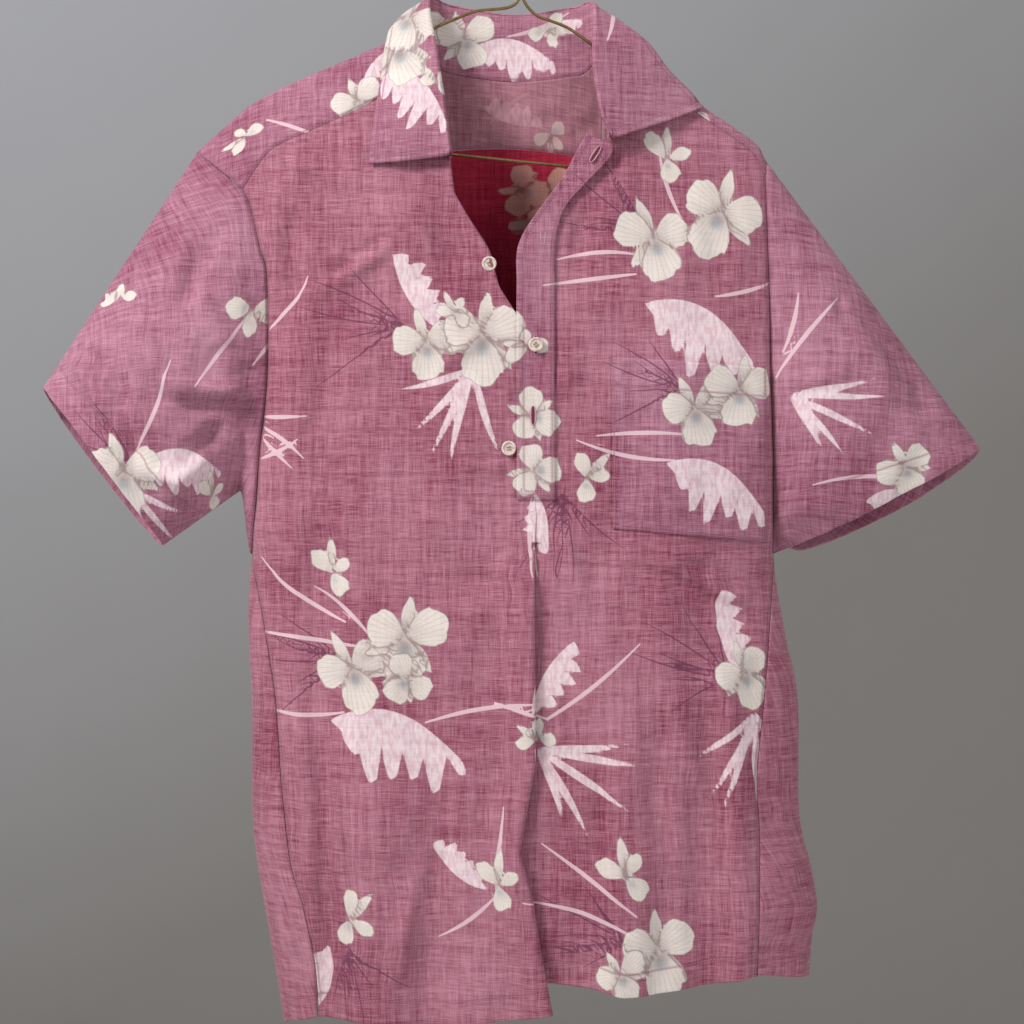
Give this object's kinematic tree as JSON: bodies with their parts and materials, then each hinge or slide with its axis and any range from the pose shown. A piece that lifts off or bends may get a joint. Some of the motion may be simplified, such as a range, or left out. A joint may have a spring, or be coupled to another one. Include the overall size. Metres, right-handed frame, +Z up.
{
  "type": "hawaiian shirt on a wire hanger",
  "caption": "Short-sleeved pullover shirt with spread collar, half opening, chest pocket and floral print, hanging on a bent wire hanger.",
  "frame": {"origin": "inside top of the hanger's hook, where it rests on what holds it", "axes": "+Z up, +X to the viewer's right, -Y towards the viewer, out of the shirt's front"},
  "size_m": [0.7307, 0.1363, 0.8748],
  "materials": {
    "printed_cloth": "matte",
    "printed_cloth_light": "matte",
    "wire": "satin",
    "pearl": "gloss"
  },
  "bodies": {
    "root": {"front": "printed_cloth", "back": "printed_cloth", "yoke": "printed_cloth_light", "sleeve_left": "printed_cloth_light", "sleeve_right": "printed_cloth_light", "collar_stand": "printed_cloth", "collar_fall": "printed_cloth_light", "placket": "printed_cloth_light", "button_band": "printed_cloth", "pocket": "printed_cloth_light", "button_1": "pearl", "button_2": "pearl", "button_3": "pearl", "hanger": "wire"}
  },
  "joints": []
}
